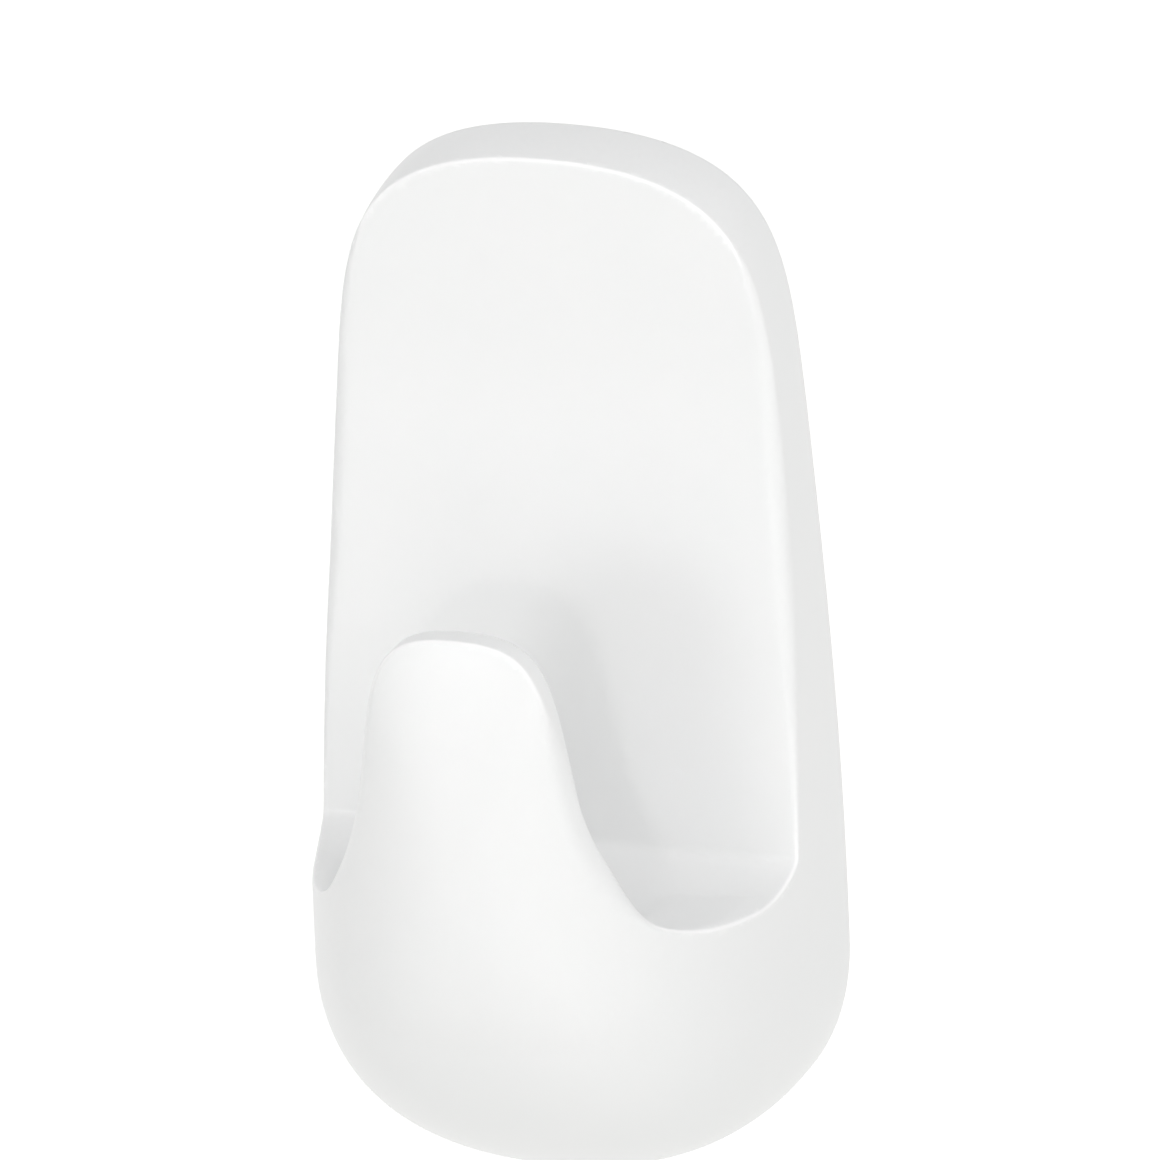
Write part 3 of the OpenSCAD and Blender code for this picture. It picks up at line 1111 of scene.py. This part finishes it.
@dataclass
class RowsOnBothSides:
    """Geometry Nodes tree that sets a small form in a row and mirrors the row.

    Attributes:
        name: Name of the tree.
        sockets: Identifiers of the tree's inputs by name.
        tree: The tree, once it is built.
    """

    name: str = "rows_on_both_sides"
    sockets: dict[str, str] = field(default_factory=dict)
    tree: bpy.types.NodeTree | None = None

    def build(self) -> None:
        """Build the tree: a line of points, the form on each, and its mirror image."""
        tree = bpy.data.node_groups.new(self.name, "GeometryNodeTree")
        wanted = {
            "Geometry": "NodeSocketGeometry",
            "Count": "NodeSocketInt",
            "Start": "NodeSocketVector",
            "Step": "NodeSocketVector",
            "Material": "NodeSocketMaterial",
        }
        for key, kind in wanted.items():
            self.sockets[key] = tree.interface.new_socket(key, in_out="INPUT", socket_type=kind).identifier
        tree.interface.new_socket("Geometry", in_out="OUTPUT", socket_type="NodeSocketGeometry")
        given = add_node(tree, "NodeGroupInput").outputs
        line = add_node(
            tree,
            "GeometryNodeMeshLine",
            {"Count": given["Count"], "Start Location": given["Start"], "Offset": given["Step"]},
        )
        row = add_node(
            tree,
            "GeometryNodeInstanceOnPoints",
            {"Points": line.outputs["Mesh"], "Instance": given["Geometry"]},
        )
        right = add_node(tree, "GeometryNodeRealizeInstances", {"Geometry": row.outputs["Instances"]})
        turned = add_node(
            tree,
            "GeometryNodeTransform",
            {"Geometry": right.outputs["Geometry"], "Scale": (-1.0, 1.0, 1.0)},
        )
        left = add_node(tree, "GeometryNodeFlipFaces", {"Mesh": turned.outputs["Geometry"]})
        both = add_node(tree, "GeometryNodeJoinGeometry", {"Geometry": right.outputs["Geometry"]})
        tree.links.new(left.outputs["Mesh"], both.inputs["Geometry"])
        real = add_node(tree, "GeometryNodeRealizeInstances", {"Geometry": both.outputs["Geometry"]})
        dressed = add_node(
            tree,
            "GeometryNodeSetMaterial",
            {"Geometry": real.outputs["Geometry"], "Material": given["Material"]},
        )
        add_node(tree, "NodeGroupOutput", {"Geometry": dressed.outputs["Geometry"]})
        self.tree = tree

    def repeat(
        self, name: str, unit: bpy.types.Mesh, levels: tuple[float, float], material: bpy.types.Material
    ) -> bpy.types.Object:
        """Set a form at two levels on both sides, as one plain mesh.

        Args:
            name: Name of the piece.
            unit: Form on the right, about level zero, in metres.
            levels: Lower and upper level in millimetres.
            material: Finish of the piece.

        Returns:
            The piece, at the origin.
        """
        if self.tree is None:
            self.build()
        carrier = place_mesh(name + "_unit", unit)
        modifier = carrier.modifiers.new(self.name, "NODES")
        modifier.node_group = self.tree
        modifier[self.sockets["Count"]] = len(levels)
        modifier[self.sockets["Start"]] = (0.0, 0.0, levels[0] * MM)
        modifier[self.sockets["Step"]] = (0.0, 0.0, (levels[1] - levels[0]) * MM)
        modifier[self.sockets["Material"]] = material
        evaluated = carrier.evaluated_get(bpy.context.evaluated_depsgraph_get())
        mesh = bpy.data.meshes.new_from_object(evaluated)
        bpy.data.objects.remove(carrier)
        mesh.name = name
        return place_mesh(name, mesh)


# Sub-assemblies


@dataclass
class WallPlate:
    """The base plate on the wall, with a long pocket in front and four lugs.

    Attributes:
        finish: Plastic of the plate.
        repeats: Tree that repeats the lugs.
        plate_w: Width between the lugs.
        corner_r: Radius of the corners.
        pocket_w: Width of the pocket.
        pocket_t: Depth of the pocket.
        pocket_end: Border round the pocket at the ends.
        lug_t: Thickness of a lug.
        lug_l: Length of a lug.
        lug_levels: Lower ends of the lower and the upper lugs.
        lug_lead: Length of the taper at a lug's upper end.
        lug_draft: Depth of that taper.
        lug_root: Depth of the lug's root inside the plate.
        edge_r: Radius of the moulded edges.
        corner_steps: Steps round a corner.
    """

    finish: MouldedPlastic
    repeats: RowsOnBothSides
    plate_w: float = 20.6
    corner_r: float = 2.5
    pocket_w: float = 8.4
    pocket_t: float = 1.0
    pocket_end: float = 4.0
    lug_t: float = 1.1
    lug_l: float = 9.0
    lug_levels: tuple[float, float] = (-19.0, 8.0)
    lug_lead: float = 1.6
    lug_draft: float = 0.15
    lug_root: float = 1.2
    edge_r: float = 0.2
    corner_steps: int = 8

    def oblong(self, width: float, low: float, high: float, out: float) -> list[Point]:
        """Trace a rounded oblong at one distance from the wall.

        Args:
            width: Width of the oblong.
            low: Lower edge.
            high: Upper edge.
            out: Distance from the wall.

        Returns:
            Its points in order.
        """
        radius = self.corner_r
        upper, lower = high - radius, low + radius
        corners = ((1, upper, 0), (-1, upper, 90), (-1, lower, 180), (1, lower, 270))
        points = []
        for side, z, start in corners:
            for i in range(self.corner_steps + 1):
                angle = math.radians(start + 90 * i / self.corner_steps)
                x = side * (width / 2 - radius) + radius * math.cos(angle)
                points.append((x, out, z + radius * math.sin(angle)))
        return points

    def body_mesh(self, low: Vector, high: Vector) -> bpy.types.Mesh:
        """Build the plate itself.

        Args:
            low: Lowest corner of the plate's box in millimetres.
            high: Highest corner of the plate's box.

        Returns:
            The plate's mesh.
        """
        back, front = -high.y, -low.y
        ends = (low.z + self.pocket_end, high.z - self.pocket_end)
        shape = loft(
            [
                self.oblong(self.plate_w, low.z, high.z, back),
                self.oblong(self.plate_w, low.z, high.z, front),
                self.oblong(self.pocket_w, *ends, front),
                self.oblong(self.pocket_w, *ends, front - self.pocket_t),
            ]
        )
        soften(shape, self.edge_r)
        return finish_mesh(shape, "base_plate_body")

    def lug_unit(self, low: Vector, high: Vector) -> bpy.types.Mesh:
        """Build the right lug about level zero, its back tapered at the upper end.

        Args:
            low: Lowest corner of the plate's box in millimetres.
            high: Highest corner of the plate's box.

        Returns:
            The lug's mesh.
        """
        front = -low.y
        back = front - self.lug_t
        outline = (
            (back, 0),
            (front, 0),
            (front, self.lug_l),
            (back + self.lug_draft, self.lug_l),
            (back, self.lug_l - self.lug_lead),
        )
        sides = (self.plate_w / 2 - self.lug_root, high.x)
        shape = loft([[(x, out, z) for out, z in outline] for x in sides])
        soften(shape, self.edge_r / 2)
        return finish_mesh(shape, "lug_unit")

    def build(self) -> list[bpy.types.Object]:
        """Build and dress the plate's pieces.

        Returns:
            The plate and its lugs.
        """
        low, high = box_mm(Node.BASE_PLATE)
        material = self.finish.build()
        body = place_mesh("base_plate_body", self.body_mesh(low, high))
        body.data.materials.append(material)
        lugs = self.repeats.repeat("base_plate_lugs", self.lug_unit(low, high), self.lug_levels, material)
        for piece in (body, lugs):
            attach(piece, Body.WALL_SIDE.value)
        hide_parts(Node.BASE_PLATE.value)
        return [body, lugs]


@dataclass
class MouldedHook:
    """The hook: one moulded shell with ribs, a stop and four catches inside.

    Attributes:
        form: Form of the shell.
        finish: Plastic of the hook.
        repeats: Tree that repeats the catches.
        plate: Plate whose lugs the catches hold.
        side_clear: Gap beside the plate and its lugs.
        catch_inset: Depth of the catches' backs inside the rim.
        web_t: Thickness of a catch's web.
        lip_lead: Length of the taper at the lip's lower end.
        catch_l: Length of a catch.
        catch_levels: Lower ends of the lower and the upper catches.
        edge_r: Radius of the catches' edges.
    """

    form: HookForm
    finish: MouldedPlastic
    repeats: RowsOnBothSides
    plate: WallPlate
    side_clear: float = 0.3
    catch_inset: float = 0.05
    web_t: float = 1.3
    lip_lead: float = 1.6
    catch_l: float = 9.0
    catch_levels: tuple[float, float] = (-19.0, 8.0)
    edge_r: float = 0.12

    def catch_unit(self) -> bpy.types.Mesh:
        """Build the right catch about level zero: a web out of the face and its lip.

        Returns:
            The catch's mesh.
        """
        form = self.form
        _, plate_high = box_mm(Node.BASE_PLATE)
        web_in = plate_high.x + self.side_clear
        web_out = web_in + self.web_t
        lip_in = self.plate.plate_w / 2 + self.side_clear
        back = form.rim + self.catch_inset
        lip_front = form.plate_front - self.plate.lug_t - form.slide_clear
        root = form.face_out(self.catch_levels[1] + self.catch_l) - form.skin / 2
        web = ((lip_in, back), (web_out, back), (web_out, root), (web_in, root))
        fronts = ((0, lip_front - form.slide_clear), (self.lip_lead, lip_front), (self.catch_l, lip_front))
        shape = loft(
            [[(x, out, z) for x, out in (*web, (web_in, front), (lip_in, front))] for z, front in fronts]
        )
        soften(shape, self.edge_r)
        return finish_mesh(shape, "catch_unit")

    def build(self) -> list[bpy.types.Object]:
        """Build and dress the hook's pieces.

        Returns:
            The shell and its catches.
        """
        material = self.finish.build()
        shell = place_mesh("hook_shell_moulding", SkinMesher(self.form).build("hook_shell_moulding"))
        shell.data.materials.append(material)
        catches = self.repeats.repeat("hook_catches", self.catch_unit(), self.catch_levels, material)
        for piece in (shell, catches):
            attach(piece, Body.HOOK.value)
        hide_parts(Node.HOOK_SHELL.value)
        return [shell, catches]


@dataclass
class StretchStrip:
    """The adhesive strip: a bonded part and a thinner grip tab between two films.

    Attributes:
        adhesive: Finish of the strip.
        film: Finish of the films.
        bonded_l: Length of the bonded part.
        core_inset: Depth of the tab's core below the strip's faces.
        tab_r: Radius of the tab's lower corners.
        edge_r: Radius of the strip's edges.
        row_step: Spacing of the rows along the strip.
        corner_steps: Steps round a tab's corner.
    """

    adhesive: DrawnSheet
    film: DrawnSheet
    bonded_l: float = 41.0
    core_inset: float = 0.2
    tab_r: float = 4.0
    edge_r: float = 0.12
    row_step: float = 0.5
    corner_steps: int = 10

    def rows(self, low: Vector, high: Vector) -> list[tuple[float, float, float, float]]:
        """List the strip's cross-sections from its top to its end.

        Args:
            low: Lowest corner of the strip's box in millimetres.
            high: Highest corner of the strip's box.

        Returns:
            Level, half width, back and front distance from the wall of each.
        """
        half, thick = high.x, high.y - low.y
        step_z = high.z - self.bonded_l
        full = (half, 0.0, thick)
        thin = (self.core_inset, thick - self.core_inset)
        bonded = np.arange(high.z, step_z, -self.row_step)
        straight = np.arange(step_z, low.z + self.tab_r, -self.row_step)
        rows = [(z, *full) for z in bonded] + [(step_z, *full)]
        rows += [(z, half, *thin) for z in straight]
        for i in range(self.corner_steps + 1):
            angle = math.radians(90 * i / self.corner_steps)
            z = low.z + self.tab_r * (1 - math.sin(angle))
            rows.append((z, half - self.tab_r * (1 - math.cos(angle)), *thin))
        return rows

    def section(self, half: float, back: float, front: float) -> list[tuple[float, float]]:
        """Give a cross-section's points, its corners cut by the edge radius.

        Args:
            half: Half width.
            back: Distance of the back from the wall.
            front: Distance of the front from the wall.

        Returns:
            X and distance from the wall of each point.
        """
        r = self.edge_r
        return [
            (half - r, back), (half, back + r), (half, front - r), (half - r, front),
            (r - half, front), (-half, front - r), (-half, back + r), (r - half, back),
        ]

    def strip_mesh(self, low: Vector, high: Vector) -> bpy.types.Mesh:
        """Loft the strip through its rows.

        Args:
            low: Lowest corner of the strip's box in millimetres.
            high: Highest corner of the strip's box.

        Returns:
            The strip's mesh.
        """
        rings = [[(x, out, z) for x, out in self.section(*size)] for z, *size in self.rows(low, high)]
        return finish_mesh(loft(rings), "adhesive_strip_soft")

    def build(self) -> list[bpy.types.Object]:
        """Build the strip and dress the films.

        Returns:
            The strip and the two films.
        """
        low, high = box_mm(Node.ADHESIVE_STRIP)
        strip = place_mesh("adhesive_strip_soft", self.strip_mesh(low, high))
        strip.data.materials.append(self.adhesive.build())
        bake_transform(strip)
        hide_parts(Node.ADHESIVE_STRIP.value)
        film = self.film.build()
        films = [frame["nodes"][n.value] for n in (Node.TAB_FILM_FRONT, Node.TAB_FILM_BACK)]
        for piece in films:
            piece.data.materials.clear()
            piece.data.materials.append(film)
        return [strip, *films]


# Studio


def direction(azimuth_deg: float, elevation_deg: float) -> Vector:
    """Give the way from the hook to a place round it.

    Args:
        azimuth_deg: Turn to the right of straight ahead.
        elevation_deg: Height above the horizon.

    Returns:
        A unit vector.
    """
    azimuth, elevation = math.radians(azimuth_deg), math.radians(elevation_deg)
    level = math.cos(elevation)
    return Vector((math.sin(azimuth) * level, -math.cos(azimuth) * level, math.sin(elevation)))


def seen_by_eye(tree: bpy.types.NodeTree) -> bpy.types.NodeSocket:
    """Tell the rays that show a white studio from those that only light the hook.

    Args:
        tree: Tree that gets the nodes.

    Returns:
        Output that is 1 for the camera, gloss and glass, and 0 for other light.
    """
    path = add_node(tree, "ShaderNodeLightPath").outputs
    seen = path["Is Camera Ray"]
    for ray in ("Is Glossy Ray", "Is Transmission Ray"):
        seen = add_node(tree, "ShaderNodeMath", {0: seen, 1: path[ray]}, operation="MAXIMUM").outputs[0]
    return seen


@dataclass(frozen=True)
class PhotoCamera:
    """Camera at the photograph's view.

    Attributes:
        azimuth_deg: Turn of the camera to the right of straight ahead.
        elevation_deg: Height of the camera above the horizon.
        roll_deg: Turn of the picture about the line of sight.
        distance: Distance from the target in millimetres.
        target: Point that the camera looks at, in millimetres.
        lens_mm: Focal length.
        sensor_mm: Width of the sensor.
        nearest: Nearest distance that is drawn, in millimetres.
    """

    azimuth_deg: float = 20.2
    elevation_deg: float = 22.62
    roll_deg: float = -2.43
    distance: float = 815.2
    target: Point = HOOK_MIDDLE
    lens_mm: float = 354.4
    sensor_mm: float = 36.0
    nearest: float = 10.0

    def build(self) -> bpy.types.Object:
        """Make the camera and set it as the scene's.

        Returns:
            The camera.
        """
        roll = math.radians(self.roll_deg)
        back = direction(self.azimuth_deg, self.elevation_deg)
        right = direction(self.azimuth_deg + 90, 0)
        up = back.cross(right)
        across = right * math.cos(roll) + up * math.sin(roll)
        upward = up * math.cos(roll) - right * math.sin(roll)
        data = bpy.data.cameras.new("photo_camera")
        data.lens = self.lens_mm
        data.sensor_width = self.sensor_mm
        data.clip_start = self.nearest * MM
        camera = bpy.data.objects.new("photo_camera", data)
        place = (Vector(self.target) + back * self.distance) * MM
        turn = Matrix((across, upward, back)).transposed().to_4x4()
        camera.matrix_world = Matrix.Translation(place) @ turn
        bpy.context.scene.collection.objects.link(camera)
        bpy.context.scene.camera = camera
        return camera


@dataclass(frozen=True)
class SoftLight:
    """One soft box, aimed at the hook.

    Attributes:
        name: Name of the lamp.
        azimuth_deg: Direction, to the right of straight ahead.
        elevation_deg: Direction above the horizon.
        size: Side of the box in millimetres.
        watts: Power.
        distance: Distance from the aim in millimetres.
        aim: Point that it is aimed at, in millimetres.
        spread_deg: Angle of its beam, 180 for an open box.
    """

    name: str
    azimuth_deg: float
    elevation_deg: float
    size: float
    watts: float
    distance: float = 900.0
    aim: Point = HOOK_MIDDLE
    spread_deg: float = 180.0

    def build(self) -> bpy.types.Object:
        """Make the lamp.

        Returns:
            The lamp, unseen by the camera.
        """
        back = direction(self.azimuth_deg, self.elevation_deg)
        data = bpy.data.lights.new(self.name, "AREA")
        data.energy = self.watts
        data.size = self.size * MM
        data.spread = math.radians(self.spread_deg)
        lamp = bpy.data.objects.new(self.name, data)
        lamp.location = (Vector(self.aim) + back * self.distance) * MM
        lamp.rotation_mode = "QUATERNION"
        lamp.rotation_quaternion = (-back).to_track_quat("-Z", "Y")
        lamp.visible_camera = False
        bpy.context.scene.collection.objects.link(lamp)
        return lamp


# The two shadow boxes are small and nearly in front: they throw the tongue's two soft shadows on the face.
LIGHTS = (
    SoftLight("front_wide_box", 0, 2, 900, 0.40),
    SoftLight("right_box", 50, 30, 500, 1.36),
    SoftLight("right_low_box", 55, 8, 400, 0.52),
    SoftLight("front_high_box", 0, 45, 500, 0.26),
    SoftLight("edge_box", 15, 75, 100, 0.28),
    SoftLight("left_shadow_box", -18, 4, 230, 0.66),
    SoftLight("low_shadow_box", 17, -9, 280, 0.34),
    SoftLight("face_spot", 10, 12, 160, 0.0050, distance=600, aim=(0.0, -6.0, 38.0), spread_deg=7),
)


@dataclass
class Studio:
    """White studio: floor, daylight-white surroundings, soft boxes and camera.

    Attributes:
        camera: Camera at the photograph's view.
        lights: Soft boxes.
        ambient: Strength of the surroundings' light on the object.
        floor_room: Room between the pulled tab's end and the floor.
        floor_half: Half the floor's side.
        floor_colour: Colour of the floor.
        floor_glow: Share of white that the floor shows the camera beside its own light.
    """

    camera: PhotoCamera
    lights: tuple[SoftLight, ...]
    ambient: float = 0.652
    floor_room: float = 20.0
    floor_half: float = 4000.0
    floor_colour: str = "#ececea"
    floor_glow: float = 0.55

    def floor_level(self) -> float:
        """Find the floor's level, under everything that the tab's pull reaches.

        Returns:
            The level in millimetres.
        """
        low, _ = box_mm(Node.TAB_FILM_FRONT)
        pulls = [j["range_m"][1] for j in frame["joints"] if j["child"] == Body.PULL_TAB.value]
        return low.z - max(pulls) / MM - self.floor_room

    def floor_material(self) -> bpy.types.Material:
        """Make the floor's matt white paint.

        Returns:
            White to the camera, but for the shadow on it, and clear from below.
        """
        material = bare_material("floor_white_paint")
        tree = material.node_tree
        glow = add_node(
            tree, "ShaderNodeMath", {0: seen_by_eye(tree), 1: self.floor_glow}, operation="MULTIPLY"
        )
        paint = add_node(tree, "ShaderNodeBsdfDiffuse", {"Color": linear(self.floor_colour)})
        white = add_node(tree, "ShaderNodeEmission", {"Strength": glow.outputs[0]})
        shown = add_node(
            tree, "ShaderNodeAddShader", {0: paint.outputs["BSDF"], 1: white.outputs["Emission"]}
        )
        clear = add_node(tree, "ShaderNodeBsdfTransparent")
        under = add_node(tree, "ShaderNodeNewGeometry").outputs["Backfacing"]
        mixed = add_node(
            tree, "ShaderNodeMixShader", {0: under, 1: shown.outputs["Shader"], 2: clear.outputs["BSDF"]}
        )
        add_node(tree, "ShaderNodeOutputMaterial", {"Surface": mixed.outputs["Shader"]})
        return material

    def build_floor(self) -> None:
        """Lay the floor."""
        z = self.floor_level() * MM
        h = self.floor_half * MM
        mesh = bpy.data.meshes.new("floor")
        mesh.from_pydata([(-h, -h, z), (h, -h, z), (h, h, z), (-h, h, z)], [], [(0, 1, 2, 3)])
        floor = place_mesh("floor", mesh)
        mesh.materials.append(self.floor_material())

    def build_world(self) -> None:
        """Make the surroundings: white to the eye, softer as light on the hook."""
        world = bpy.data.worlds.new("studio_white")
        bpy.context.scene.world = world
        world.use_nodes = True
        tree = world.node_tree
        tree.nodes.clear()
        strength = add_node(
            tree, "ShaderNodeMapRange", {"Value": seen_by_eye(tree), "To Min": self.ambient, "To Max": 1.0}
        )
        sky = add_node(
            tree,
            "ShaderNodeBackground",
            {"Strength": strength.outputs["Result"], "Color": linear("#ffffff")},
        )
        add_node(tree, "ShaderNodeOutputWorld", {"Surface": sky.outputs["Background"]})

    def build(self) -> None:
        """Set up the whole studio."""
        bpy.context.scene.view_settings.view_transform = "Standard"
        self.build_world()
        self.build_floor()
        for light in self.lights:
            light.build()
        self.camera.build()


def main() -> None:
    """Build the hook's pieces and the studio, and report each piece."""
    logging.basicConfig(level=logging.INFO, format="%(name)s: %(message)s")
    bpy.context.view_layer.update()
    repeats = RowsOnBothSides()
    plate = WallPlate(PLATE_ABS, repeats)
    hook = MouldedHook(HookForm.from_frame(), HOOK_ABS, repeats, plate)
    for maker in (hook, plate, StretchStrip(ADHESIVE, TAB_FILM)):
        for piece in maker.build():
            piece.data.calc_loop_triangles()
            LOG.info("%s: %d triangles", piece.name, len(piece.data.loop_triangles))
    Studio(PhotoCamera(), LIGHTS).build()


if __name__ == "__main__":
    main()
